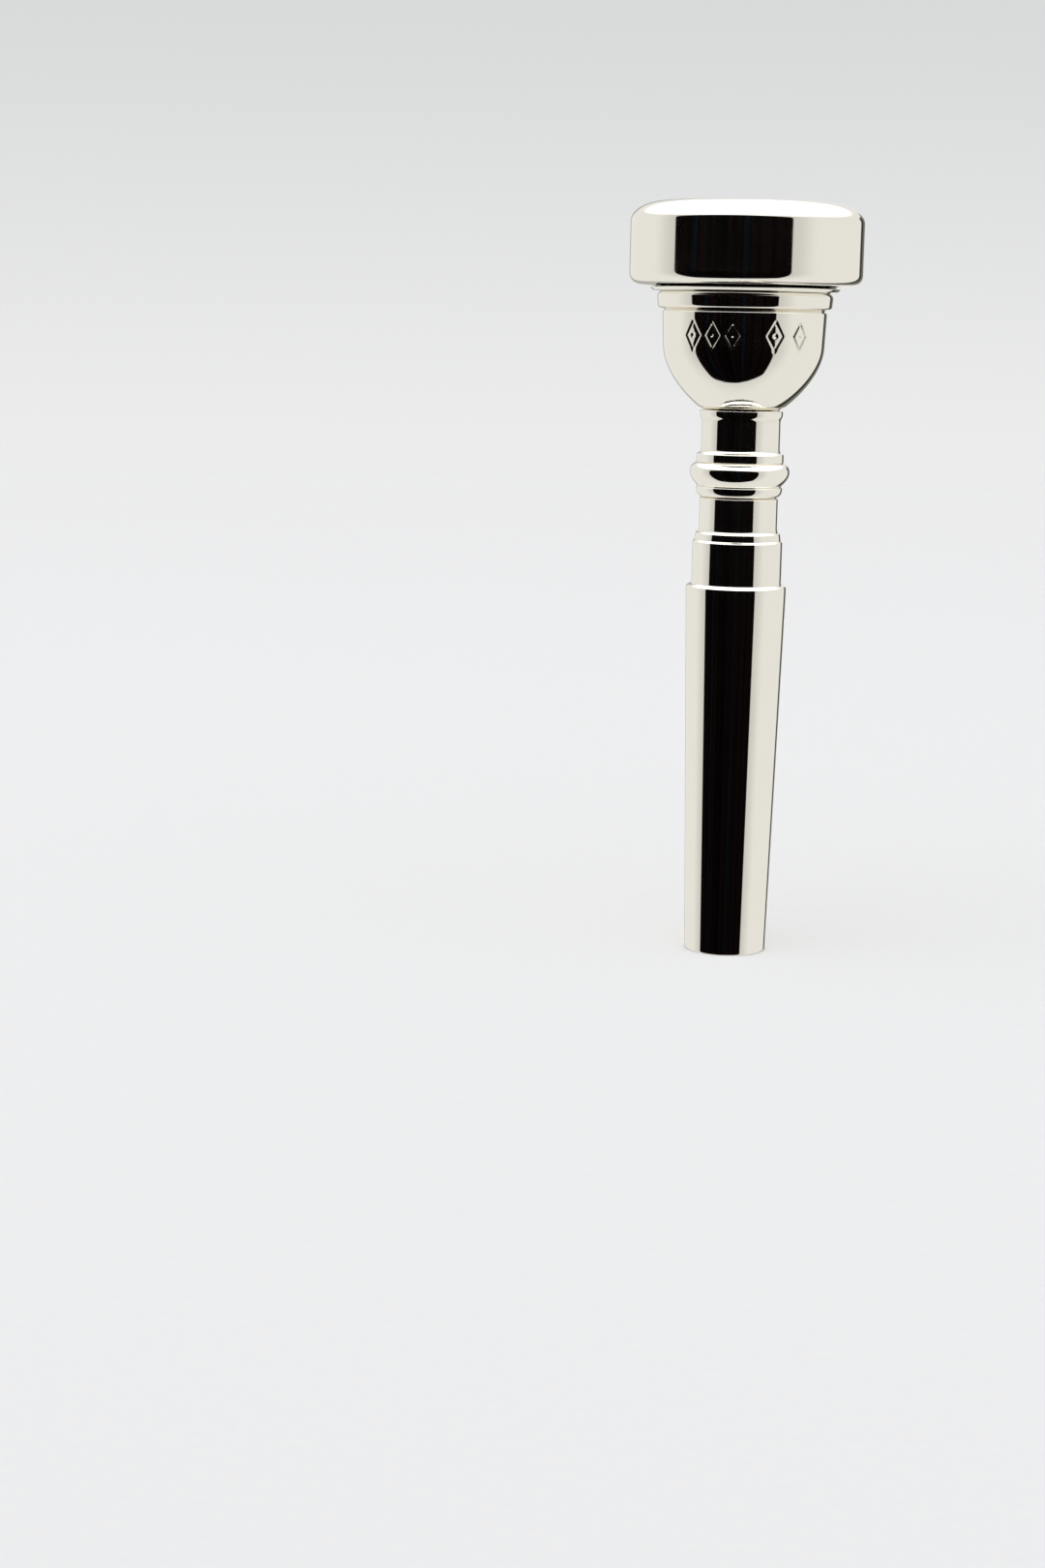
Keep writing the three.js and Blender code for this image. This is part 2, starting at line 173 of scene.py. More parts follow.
def studio_card(tree, direction, faces, middle, half, corner, soft):
    """1 where a direction meets a round-cornered card, and 0 where it passes beside it."""
    ahead, right = card_axes(faces)
    towards = add(tree, "ShaderNodeVectorMath", {0: direction, 1: ahead}, operation="DOT_PRODUCT")
    aside = add(tree, "ShaderNodeVectorMath", {0: direction, 1: right}, operation="DOT_PRODUCT")
    axes = add(tree, "ShaderNodeSeparateXYZ", {"Vector": direction})
    reach = add(tree, "ShaderNodeMath", {0: towards.outputs["Value"], 1: 0.001}, operation="MAXIMUM")
    place = add(tree, "ShaderNodeCombineXYZ", {"X": aside.outputs["Value"], "Y": axes.outputs["Z"]})
    depth = {"X": reach.outputs[0], "Y": reach.outputs[0], "Z": 1.0}
    depth = add(tree, "ShaderNodeCombineXYZ", depth)
    place = {0: place.outputs[0], 1: depth.outputs[0]}
    place = add(tree, "ShaderNodeVectorMath", place, operation="DIVIDE")
    straight = (half[0] - corner, half[1] - corner, 0)
    away = {0: place.outputs[0], 1: (*middle, 0)}
    away = add(tree, "ShaderNodeVectorMath", away, operation="SUBTRACT")
    away = add(tree, "ShaderNodeVectorMath", {0: away.outputs[0]}, operation="ABSOLUTE")
    past = add(tree, "ShaderNodeVectorMath", {0: away.outputs[0], 1: straight}, operation="SUBTRACT")
    past = add(tree, "ShaderNodeVectorMath", {0: past.outputs[0], 1: (0, 0, 0)}, operation="MAXIMUM")
    length = add(tree, "ShaderNodeVectorMath", {0: past.outputs[0]}, operation="LENGTH")
    edge = {"Value": length.outputs["Value"], "To Min": 1.0, "To Max": 0.0}
    edge |= {"From Min": corner - soft / 2, "From Max": corner + soft / 2}
    inside = add(tree, "ShaderNodeMapRange", edge, interpolation_type="SMOOTHSTEP")
    ahead_only = {0: towards.outputs["Value"], 1: 0.001}
    ahead_only = add(tree, "ShaderNodeMath", ahead_only, operation="GREATER_THAN")
    inside = {0: inside.outputs["Result"], 1: ahead_only.outputs[0]}
    return add(tree, "ShaderNodeMath", inside, operation="MULTIPLY").outputs[0]


print("cards:", ", ".join(STUDIO))

# %% [markdown]
# ## What lights the silver
#
# White card reads as cream in silver. It is brightest overhead, where the lamp shines through it,
# which burns out the top of the rim, and it is dimmer beside the black card, which drinks the
# light there. The black card isn't quite black: behind it the dark room leaves faint upright
# streaks of brown and blue. Matt things see an even white dome instead, and the camera sees a
# backdrop that darkens upwards.

# %% Sky
SIDE_LIGHT = linear("#EAE9E6")
OVERHEAD_LIGHT = (2.6, 2.6, 2.58, 1.0)
OVERHEAD_RISE = (0.36, 0.7)  # sines of the elevations between which the light brightens
BESIDE_BLACK = {"shade": 0.76, "from": 0.0, "to": 0.52}  # cosines of the angle to the black card
STRIP_LIGHT = {"dark_strip": "#343531", "dim_strip": "#7A7A72", "grey_strip": "#B0B0AA"}
ROOM_STREAKS = ((0.30, "#020203"), (0.45, "#0E0807"), (0.58, "#020202"), (0.70, "#10131A"))
DOME_LIGHT = (0.93, 0.93, 0.935, 1.0)
BACKDROP_LOW = linear("#EEEEEF")
BACKDROP_HIGH = linear("#D7D8D8")
BACKDROP_CLIMB = (-0.087, 0.156)


def blend(tree, factor, low, high):
    """Mixes two colours, each a constant or an output."""
    layers = {MIX_FACTOR: factor, MIX_A: low, MIX_B: high}
    return add(tree, "ShaderNodeMix", layers, data_type="RGBA").outputs[MIX_RESULT]


def climb(tree, value, low, high):
    """0 at a low value and 1 at a high one, with a soft start and end."""
    span = {"Value": value, "From Min": low, "From Max": high}
    return add(tree, "ShaderNodeMapRange", span, interpolation_type="SMOOTHSTEP").outputs["Result"]


def room_streaks(tree, direction):
    """Near-black upright streaks, which don't change with the height."""
    level = {0: direction, 1: (1, 1, 0)}
    level = add(tree, "ShaderNodeVectorMath", level, operation="MULTIPLY")
    level = add(tree, "ShaderNodeVectorMath", {0: level.outputs[0]}, operation="NORMALIZE")
    noise = add(tree, "ShaderNodeTexNoise", {"Vector": level.outputs[0], "Scale": 6.0, "Detail": 3.0})
    ramp = add(tree, "ShaderNodeValToRGB", {"Fac": noise.outputs["Fac"]})
    stops = ramp.color_ramp.elements
    while len(stops) < len(ROOM_STREAKS):
        stops.new(0.5)
    for stop, (place, colour) in zip(stops, ROOM_STREAKS):
        stop.position = place
        stop.color = linear(colour)
    return ramp.outputs["Color"]


def what_silver_sees(tree, direction, height):
    """White card all round, brighter overhead, with the darker cards in front of it."""
    ahead, _ = card_axes(STUDIO["black_card"]["faces"])
    towards = add(tree, "ShaderNodeVectorMath", {0: direction, 1: ahead}, operation="DOT_PRODUCT")
    near = climb(tree, towards.outputs["Value"], BESIDE_BLACK["from"], BESIDE_BLACK["to"])
    shaded = tuple(BESIDE_BLACK["shade"] * value for value in SIDE_LIGHT[:3]) + (1.0,)
    light = blend(tree, near, SIDE_LIGHT, shaded)
    light = blend(tree, climb(tree, height, *OVERHEAD_RISE), light, OVERHEAD_LIGHT)
    shades = {name: linear(colour) for name, colour in STRIP_LIGHT.items()}
    shades["black_card"] = room_streaks(tree, direction)
    for name, card in STUDIO.items():
        light = blend(tree, studio_card(tree, direction, **card), light, shades[name])
    return light


def paint_sky(world):
    world.use_nodes = True
    tree = world.node_tree
    tree.nodes.clear()
    direction = add(tree, "ShaderNodeTexCoord").outputs["Generated"]
    height = add(tree, "ShaderNodeSeparateXYZ", {"Vector": direction}).outputs["Z"]
    backdrop = blend(tree, climb(tree, height, *BACKDROP_CLIMB), BACKDROP_LOW, BACKDROP_HIGH)
    rays = add(tree, "ShaderNodeLightPath")
    seen = blend(tree, rays.outputs["Is Camera Ray"], DOME_LIGHT, backdrop)
    silver_sees = what_silver_sees(tree, direction, height)
    seen = blend(tree, rays.outputs["Is Glossy Ray"], seen, silver_sees)
    shine = add(tree, "ShaderNodeBackground", {"Color": seen, "Strength": 1.0})
    add(tree, "ShaderNodeOutputWorld", {"Surface": shine.outputs["Background"]})
    return len(tree.nodes)


sky = bpy.data.worlds.new("white_card_studio")
bpy.context.scene.world = sky
bpy.context.scene.view_settings.view_transform = "Standard"
print("sky nodes:", paint_sky(sky))

# %% [markdown]
# ## The floor
#
# The mouthpiece stands on a sheet of matt white card. A sheet with an edge would draw a hard
# horizon, so this one thins out to nothing well behind the object. It is marked as stage, so it
# doesn't count as a part, and reflections don't see it, because the sky already holds a floor.

# %% Floor
FLOOR_REACH = (0.35, 1.5)  # metres from the middle over which the card fades into the backdrop
FLOOR_RADIUS = 1.6


def white_card():
    """Matt paper: almost white, rough, with a fibre mottle too faint to draw the eye."""
    material = bpy.data.materials.new("matt_white_card")
    material.use_nodes = True
    tree = material.node_tree
    tree.nodes.clear()
    place = add(tree, "ShaderNodeTexCoord").outputs["Object"]
    fibres = add(tree, "ShaderNodeTexNoise", {"Vector": place, "Scale": 900.0, "Detail": 2.0})
    tone = {MIX_FACTOR: fibres.outputs["Fac"], MIX_A: linear("#F2F2F2"), MIX_B: linear("#EEEFF0")}
    tone = add(tree, "ShaderNodeMix", tone, data_type="RGBA").outputs[MIX_RESULT]
    paper = add(tree, "ShaderNodeBsdfDiffuse", {"Color": tone, "Roughness": 1.0})
    distance = add(tree, "ShaderNodeVectorMath", {0: place}, operation="LENGTH")
    fade = {"Value": distance.outputs["Value"], "From Min": FLOOR_REACH[0], "From Max": FLOOR_REACH[1]}
    fade = add(tree, "ShaderNodeMapRange", fade, interpolation_type="SMOOTHSTEP")
    clear = add(tree, "ShaderNodeBsdfTransparent")
    layers = {0: fade.outputs["Result"], 1: paper.outputs[0], 2: clear.outputs[0]}
    mixed = add(tree, "ShaderNodeMixShader", layers)
    add(tree, "ShaderNodeOutputMaterial", {"Surface": mixed.outputs[0]})
    return material


bpy.ops.mesh.primitive_circle_add(vertices=96, radius=FLOOR_RADIUS, fill_type="NGON")
floor = bpy.context.object
floor.name = "studio_floor"
floor.data.materials.append(white_card())
floor.visible_glossy = False
floor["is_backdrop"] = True

bpy.ops.object.light_add(type="AREA", location=(-0.25, -0.15, 0.7))
lamp = bpy.context.object
lamp.name = "soft_box"
lamp.rotation_euler = (-lamp.location).to_track_quat("-Z", "Y").to_euler()
lamp.data.size = 0.5
lamp.data.energy = 0.5
lamp.visible_glossy = False
print("floor", 2 * FLOOR_RADIUS, "m across, lamp", lamp.data.size, "m square")

# %% [markdown]
# ## Outlines
#
# A turned part is one outline swept round an axis, so the outline is the whole drawing. It is a
# list of (radius, height) corners. A third number on a corner is the radius of its rounding, as a
# turner breaks a sharp edge with a file. Long curves are Bezier curves, ellipses or a formula.

# %% Outline helpers
ARC_STEP = math.radians(15)  # the most that a rounded corner turns between two points
HOLD = 0.08  # mm from a corner at which a long straight stretch gets one more point
HOLD_LENGTH = 0.5  # mm, the shortest stretch that gets them


def rounded(corner, before, after):
    """The points of the arc that rounds one corner."""
    here, radius = Vector(corner[:2]), corner[2]
    back = (Vector(before[:2]) - here).normalized()
    ahead = (Vector(after[:2]) - here).normalized()
    between = back.angle(ahead)
    cut = radius / math.tan(between / 2)
    centre = here + (back + ahead).normalized() * (radius / math.sin(between / 2))
    first = here + back * cut - centre
    last = here + ahead * cut - centre
    sweep = first.angle(last)
    steps = max(2, math.ceil(sweep / ARC_STEP))
    points = []
    for k in range(steps + 1):
        share = k / steps
        mixed = first * math.sin((1 - share) * sweep) + last * math.sin(share * sweep)
        points.append(tuple(centre + mixed / math.sin(sweep)))
    return points


def drawn(corners):
    """A closed outline, with its corners rounded and its long stretches held straight."""
    points = []
    for i, corner in enumerate(corners):
        if len(corner) == 2:
            points.append(corner)
        else:
            points += rounded(corner, corners[i - 1], corners[(i + 1) % len(corners)])
    held = []
    for i, point in enumerate(points):
        here, there = Vector(point), Vector(points[(i + 1) % len(points)])
        held.append(point)
        along = there - here
        if along.length > HOLD_LENGTH:
            held.append(tuple(here + along.normalized() * HOLD))
            held.append(tuple(there - along.normalized() * HOLD))
    return held


def bezier(start, pull_a, pull_b, end, steps):
    """Points on a cubic curve, its two ends included."""
    points = []
    for k in range(steps + 1):
        t = k / steps
        s = 1 - t
        weights = (s * s * s, 3 * s * s * t, 3 * s * t * t, t * t * t)
        pulls = (start, pull_a, pull_b, end)
        points.append(tuple(sum(w * p[axis] for w, p in zip(weights, pulls)) for axis in (0, 1)))
    return points


def oval(centre, across, up, from_degrees, to_degrees, steps):
    """Points on part of an ellipse, from one angle to another."""
    points = []
    for k in range(steps + 1):
        angle = math.radians(from_degrees + (to_degrees - from_degrees) * k / steps)
        points.append((centre[0] + across * math.cos(angle), centre[1] + up * math.sin(angle)))
    return points


def rows(radius_at, low, high, count):
    """Points up or down a wall whose radius is a formula of the height."""
    heights = [low + (high - low) * k / count for k in range(count + 1)]
    return [(radius_at(z), z) for z in heights]


print("a 0.2 mm edge has", len(rounded((1, 0, 0.2), (0, 0), (1, 1))), "points")

# %% [markdown]
# ## Turning an outline
#
# On a lathe the bar spins and the tool stands still. In Blender the outline spins. A small plane
# is merged to one vertex, that vertex is extruded from point to point until it comes back to the
# start, and Spin sweeps the loop round Z. Merging by distance closes the seam, and the normals are
# recalculated because a spin can turn a skin inside out. The sweep may be in two parts, so that
# a decorated stretch gets narrower columns than the plain rest.

# %% Turning
WELD = 2e-6  # metres, nearer than any two points of an outline
COLUMNS = 256
SMOOTH_BELOW = math.radians(38)
FULL_TURN = 2 * math.pi


def turned(name, outline, start=0.0, sweeps=((FULL_TURN, COLUMNS),)):
    """Spins a closed (radius, height) outline in mm about Z into one closed skin."""
    outwards = Vector((math.cos(start), math.sin(start), 0)) * MM
    upwards = Vector((0, 0, MM))
    bpy.ops.object.select_all(action="DESELECT")
    begin = outwards * outline[0][0] + upwards * outline[0][1]
    bpy.ops.mesh.primitive_plane_add(size=MM, location=begin)
    piece = bpy.context.object
    piece.name = name
    bpy.ops.object.mode_set(mode="EDIT")
    bpy.ops.mesh.select_all(action="SELECT")
    bpy.ops.mesh.merge(type="CENTER")
    for here, there in zip(outline, outline[1:] + outline[:1]):
        step = outwards * (there[0] - here[0]) + upwards * (there[1] - here[1])
        bpy.ops.mesh.extrude_region_move(TRANSFORM_OT_translate={"value": step})
    bpy.ops.mesh.select_all(action="SELECT")
    bpy.ops.mesh.remove_doubles(threshold=WELD)
    for angle, steps in sweeps:
        bpy.ops.mesh.spin(steps=steps, angle=angle, center=(0, 0, 0), axis=(0, 0, -1))
    bpy.ops.mesh.select_all(action="SELECT")
    bpy.ops.mesh.remove_doubles(threshold=WELD)
    bpy.ops.mesh.normals_make_consistent(inside=False)
    bpy.ops.object.mode_set(mode="OBJECT")
    bpy.ops.object.transform_apply(location=True, rotation=True, scale=True)
    print(f"{name}: {len(outline)} points, {2 * len(piece.data.polygons)} triangles")
    return piece


def points_of(piece):
    """The vertices as rows of x, y and z, in mm."""
    flat = np.zeros(3 * len(piece.data.vertices))
    piece.data.vertices.foreach_get("co", flat)
    return flat.reshape(-1, 3) / MM


def set_radii(piece, places, radii):
    """Moves each vertex straight out or in, to a new distance from the axis."""
    scale = radii / np.hypot(places[:, 0], places[:, 1])
    moved = places * np.stack([scale, scale, np.ones_like(scale)], axis=1)
    piece.data.vertices.foreach_set("co", (moved * MM).ravel())
    piece.data.update()


def finish_skin(piece):
    """Smooth shading that keeps real corners, with nothing left selected."""
    bpy.ops.object.select_all(action="DESELECT")
    piece.select_set(True)
    bpy.context.view_layer.objects.active = piece
    bpy.ops.object.shade_smooth_by_angle(angle=SMOOTH_BELOW)
    bpy.ops.object.select_all(action="DESELECT")


print("columns round a plain piece:", COLUMNS)

# %% [markdown]
# ## Threads
#
# A screw thread is cut as the tool creeps along the turning bar, one pitch for each turn. A
# separate helical ridge could be joined on with a boolean, but it leaves slivers where it runs
# out. Here the plain turned wall has fine rows, and each vertex moves out by what the thread's
# section says at its angle and height, so the skin stays whole. Both threads have flanks at 30
# degrees and rise towards the left, as right-handed threads do. Each starts and ends over a
# quarter turn. The nut's thread is the same shape, a little larger all round.

# %% Thread sizes and their section
THREADS = {
    "stem": {"outer": 3.5, "height": STEM_END + 1.0, "turns": 4},
    "rim": {"outer": 10.0, "height": RIM_FOOT + 1.0, "turns": 3},
}
PITCH = 1.0
THREAD_DEPTH = 0.55
CREST_FLAT = 0.125
FLANK = math.tan(math.radians(30))
RADIAL_GAP = 0.12
FLANK_GAP = 0.09
RUN_OUT = 0.25  # turns
THREAD_ROWS = 12  # for each pitch


def ridge_share(places, height, first_turn, last_turn):
    """Height above or below the nearest turn's middle, and how full the ridge is there."""
    angle = np.arctan2(places[:, 1], places[:, 0]) % FULL_TURN / FULL_TURN
    turn = np.round((places[:, 2] - height) / PITCH - angle) + angle
    aside = np.abs(places[:, 2] - height - turn * PITCH)
    full = np.minimum(turn - first_turn, last_turn - turn) / RUN_OUT
    return aside, np.clip(full, 0, 1)


def cut_thread(piece, thread, zone, grown=0.0, beside=0.0, spare=(0.0, 0.0)):
    """Gives the wall in zone (from radius, to radius, from height, to height) its thread."""
    places = points_of(piece)
    radii = np.hypot(places[:, 0], places[:, 1])
    inner, outer, low, high = zone
    wall = (radii > inner) & (radii < outer) & (places[:, 2] > low) & (places[:, 2] < high)
    aside, full = ridge_share(places, thread["height"], -spare[0], thread["turns"] + spare[1])
    crest = thread["outer"] + grown
    ridge = thread["outer"] - (aside - CREST_FLAT / 2 - beside) / FLANK
    ridge = radii + np.clip(np.minimum(ridge, crest) - radii, 0, None) * full
    set_radii(piece, places, np.where(wall, ridge, radii))
    return int(wall.sum())


print("thread depth", THREAD_DEPTH, "mm, pitch", PITCH, "mm")

# %% [markdown]
# ## The air way
#
# The player's lips buzz into a bowl, half an ellipse deep. The air then squeezes through the
# throat and spreads again in the backbore, which widens a little faster than a plain cone. Both
# are formulas of the height, and each piece takes the stretch that passes through it.

# %% Air way
BOWL_RADIUS, BOWL_DEPTH, BOWL_DROP = 8.0, 9.8, 1.5
THROAT_RADIUS, THROAT_LENGTH, THROAT_LEAD = 1.83, 6.6, 1.15
BORE_EXIT, BORE_POWER = 4.2, 1.15
BOWL_HEIGHT = CROWN - BOWL_DROP
BOWL_FLOOR = BOWL_HEIGHT - BOWL_DEPTH + 0.55
THROAT_TOP = BOWL_FLOOR - THROAT_LEAD
BORE_START = THROAT_TOP - THROAT_LENGTH


def bowl_radius(z):
    down = (BOWL_HEIGHT - z) / BOWL_DEPTH
    return BOWL_RADIUS * math.sqrt(1 - down * down)


def bore_radius(z):
    down = max(0.0, (BORE_START - z) / BORE_START)
    return THROAT_RADIUS + (BORE_EXIT - THROAT_RADIUS) * down**BORE_POWER


print(f"throat at {THROAT_TOP:.2f} mm, bore widens below {BORE_START:.2f} mm")

# %% [markdown]
# ## The backbore
#
# The backbore ends in the shank, whose standard taper of 1 in 20 wedges it into the instrument.
# Above its shoulder come a plain sleeve, a narrow band, two necks and a group of rings round a
# large bead, where the fingers grip. It could be stacked from cylinders, but then every step
# would be a hard joint, while a form tool leaves one flowing skin. So it is one outline.

# %% Backbore outline
SHANK_END, SHANK_TAPER, SHANK_LENGTH, SHOULDER_LENGTH = 4.85, 1 / 20, 43.1, 1.0
NECK = 4.62
SLEEVE = {"rise": 0.69, "length": 5.3, "chamfer": 0.18, "cove": 0.2, "shoulder": 0.28}
BAND = {"rise": 0.48, "taper": 0.1, "length": 0.7, "lip": 0.16}
LOWER_NECK = {"length": 4.2, "cove": 1.0}
GROOVE = {"depth": 0.22, "length": 0.3}
LOWER_RING = {"rise": 0.45, "cone": 0.65, "length": 0.4}
BEAD = {"notch_rise": 0.2, "notch": 0.3, "rise": 1.25, "length": 2.75, "end": 0.25}
UPPER_RING = {"rise": 0.51, "length": 0.8}
UPPER_NECK = {"length": 4.1, "cove": 0.8}
COLLAR = {"groove": 0.3, "rise": 0.25, "length": 0.78, "chamfer": 0.2}
FOOT_INSET = 0.16
SOCKET_MOUTH, SOCKET_NUT = 3.7, 3.07
END_GAP = 0.1
STEM_THREAD_LENGTH = 5.8

SHOULDER_RADIUS = SHANK_END + SHANK_TAPER * SHANK_LENGTH / 2
SLEEVE_FOOT = SHANK_LENGTH + SHOULDER_LENGTH
BAND_FOOT = SLEEVE_FOOT + SLEEVE["length"]
LOWER_NECK_FOOT = BAND_FOOT + BAND["length"]
GROOVE_FOOT = LOWER_NECK_FOOT + LOWER_NECK["length"]
LOWER_RING_FOOT = GROOVE_FOOT + GROOVE["length"]
NOTCH_FOOT = LOWER_RING_FOOT + LOWER_RING["cone"] + LOWER_RING["length"]
BEAD_FOOT = NOTCH_FOOT + BEAD["notch"]
UPPER_RING_FOOT = BEAD_FOOT + BEAD["length"]
UPPER_NECK_FOOT = UPPER_RING_FOOT + UPPER_RING["length"]
COLLAR_GROOVE_FOOT = UPPER_NECK_FOOT + UPPER_NECK["length"]
COLLAR_FOOT = COLLAR_GROOVE_FOOT + COLLAR["groove"]
SOCKET_FLOOR = STEM_END - END_GAP


def shank_and_sleeve():
    sleeve = NECK + SLEEVE["rise"]
    band = NECK + BAND["rise"]
    band_top = band - BAND["taper"]
    cove_top = LOWER_NECK_FOOT + LOWER_NECK["cove"]
    cove = bezier(
        (band_top - 0.16, LOWER_NECK_FOOT + BAND["lip"] + 0.03),
        (NECK + 0.06, LOWER_NECK_FOOT + BAND["lip"] + 0.08),
        (NECK, cove_top - 0.5),
        (NECK, cove_top),
        8,
    )
    return [
        (bore_radius(0), SHANK_BOTTOM, 0.15),
        (SHANK_END, SHANK_BOTTOM, 0.2),
        (SHOULDER_RADIUS, SHANK_LENGTH),
        (SHOULDER_RADIUS, SLEEVE_FOOT, SLEEVE["shoulder"]),
        (sleeve, SLEEVE_FOOT, SLEEVE["cove"]),
        (sleeve, BAND_FOOT - SLEEVE["chamfer"], 0.12),
        (band, BAND_FOOT, 0.08),
        (band_top, LOWER_NECK_FOOT + BAND["lip"], 0.1),
        *cove,
    ]


def lower_rings():
    ring = NECK + LOWER_RING["rise"]
    groove_floor = NECK - GROOVE["depth"]
    groove_middle = GROOVE_FOOT + GROOVE["length"] / 2
    swell = bezier(
        (groove_floor + 0.02, groove_middle + 0.02),
        (ring - 0.22, groove_middle + 0.12),
        (ring, groove_middle + 0.5),
        (ring, groove_middle + 1.0),
        8,
    )
    return [
        (NECK, GROOVE_FOOT + 0.05, 0.08),
        (groove_floor, groove_middle - 0.03),
        *swell,
        (ring, NOTCH_FOOT, 0.12),
        (NECK + BEAD["notch_rise"], NOTCH_FOOT + BEAD["notch"] / 2, 0.05),
    ]


def bead_and_upper_ring():
    widest = NECK + BEAD["rise"]
    middle = BEAD_FOOT + BEAD["length"] * 0.55
    end = UPPER_RING_FOOT - BEAD["end"]
    upper = NECK + UPPER_RING["rise"]
    cove_top = UPPER_NECK_FOOT + UPPER_NECK["cove"]
    below = bezier(
        (NECK + 0.4, BEAD_FOOT - 0.1),
        (widest - 0.37, BEAD_FOOT + 0.4),
        (widest, middle - 0.6),
        (widest, middle),
        12,
    )
    above = bezier(
        (widest, middle),
        (widest, middle + 0.5),
        (widest - 0.27, end - 0.15),
        (5.26, end),
        10,
    )
    cove = bezier(
        (upper - 0.2, UPPER_NECK_FOOT + 0.1),
        (NECK + 0.1, UPPER_NECK_FOOT + 0.14),
        (NECK, cove_top - 0.4),
        (NECK, cove_top),
        8,
    )
    return [
        *below,
        *above[1:],
        (upper - 0.1, end + 0.05),
        (upper, UPPER_RING_FOOT - 0.12, 0.06),
        (upper, UPPER_NECK_FOOT + 0.06, 0.12),
        *cove,
    ]


def collar_and_socket():
    collar = NECK + COLLAR["rise"]
    step = STEM_END + STEM_THREAD_LENGTH - END_GAP
    thread_rows = math.ceil((step - SOCKET_FLOOR) / PITCH * THREAD_ROWS)
    waist = bezier(
        (NECK, COLLAR_GROOVE_FOOT - 0.3),
        (NECK, COLLAR_GROOVE_FOOT + 0.1),
        (collar, COLLAR_FOOT - 0.2),
        (collar, COLLAR_FOOT + 0.25),
        8,
    )
    return [
        *waist,
        (collar, CUP_SEAT - COLLAR["chamfer"] / 2, 0.08),
        (NECK - FOOT_INSET, CUP_SEAT, 0.04),
        (SOCKET_MOUTH, CUP_SEAT, 0.12),
        (SOCKET_MOUTH, step, 0.05),
        *rows(lambda z: SOCKET_NUT, step, SOCKET_FLOOR, thread_rows),
        *rows(bore_radius, SOCKET_FLOOR, 0.5, 14),
    ]


backbore_outline = shank_and_sleeve() + lower_rings() + bead_and_upper_ring() + collar_and_socket()
backbore = turned("backbore_body", drawn(backbore_outline))
socket_top = STEM_END + STEM_THREAD_LENGTH - END_GAP
socket_zone = (SOCKET_NUT - 0.05, SOCKET_NUT + 0.05, SOCKET_FLOOR + 0.06, socket_top - 0.06)
nut_play = {"grown": RADIAL_GAP, "beside": FLANK_GAP}
moved = cut_thread(backbore, THREADS["stem"], socket_zone, spare=(0.75, 1.5), **nut_play)
finish_skin(backbore)
print("thread vertices in the socket:", moved)

# %% [markdown]
# ## The cup
#
# The cup is the bowl's outside: it sweeps out from a narrow foot and then runs almost straight up
# to a groove, a round bead and the thin flange that the rim sits on. Below the foot is its stem,
# with a thread, a lip and a groove for the rubber ring. Above the flange is the spigot that the
# rim screws onto. The front gets narrow columns, because an ornament is struck there.

# %% Cup outline
WALL_FOOT_RADIUS, WALL_TOP_RADIUS = 9.42, 9.6
FLARE = {"out": 0.68, "up": 0.3}
WALL = {"curve": 6.8, "length": 3.95}
CUP_GROOVE = {"depth": 0.35, "length": 0.57, "wall": 0.2, "floor": 0.3}
CUP_BEAD = {"top": 10.31, "bottom": 10.14, "length": 1.85, "upper_round": 0.7, "lower_round": 0.35}
FLANGE = {"edge": 0.33, "undercut": 0.28}
SEAT_RADIUS = 10.6
SPIGOT = {"land": 9.25, "core": 9.45, "relief": 9.3, "relief_length": 0.6, "land_length": 0.9}
STEM = {"core": 2.95, "pilot": 3.35, "gland": 2.88, "lip": 0.3, "pilot_length": 0.6, "chamfer": 0.3}
GLAND_LENGTH = 0.9

SEAT_GAP = 0.05  # left between two pieces where one sits on the other
FLANGE_NECK = 0.15  # between the cup's bead and its flange

CUP_FOOT = CUP_SEAT + SEAT_GAP
WALL_FOOT = CUP_FOOT + FLARE["up"] + WALL["curve"]
CUP_GROOVE_FOOT = WALL_FOOT + WALL["length"]
CUP_BEAD_FOOT = CUP_GROOVE_FOOT + CUP_GROOVE["length"]
FLANGE_FOOT = CUP_BEAD_FOOT + CUP_BEAD["length"] + FLANGE_NECK
RIM_SEAT = RIM_FOOT - SEAT_GAP

ORNAMENT = {"low": WALL_FOOT - 0.45, "high": WALL_FOOT + 3.25, "row": 0.1, "column": 0.12}


def stem_outline():
    lip = STEM_END + STEM_THREAD_LENGTH
    gland = lip + STEM["lip"]
    thread_rows = math.ceil((lip - STEM_END - STEM["chamfer"]) / PITCH * THREAD_ROWS)
    return [
        (bore_radius(STEM_END), STEM_END, 0.05),
        (STEM["core"] - STEM["chamfer"], STEM_END),
        *rows(lambda z: STEM["core"], STEM_END + STEM["chamfer"], lip, thread_rows),
        (STEM["pilot"], lip, 0.06),
        (STEM["pilot"], gland, 0.06),
        (STEM["gland"], gland, 0.08),
        (STEM["gland"], gland + GLAND_LENGTH, 0.08),
        (STEM["pilot"], gland + GLAND_LENGTH, 0.06),
        (STEM["pilot"], CUP_FOOT, 0.05),
    ]


def wall_radius(z):
    share = (z - WALL_FOOT) / WALL["length"]
    return WALL_FOOT_RADIUS + (WALL_TOP_RADIUS - WALL_FOOT_RADIUS) * share


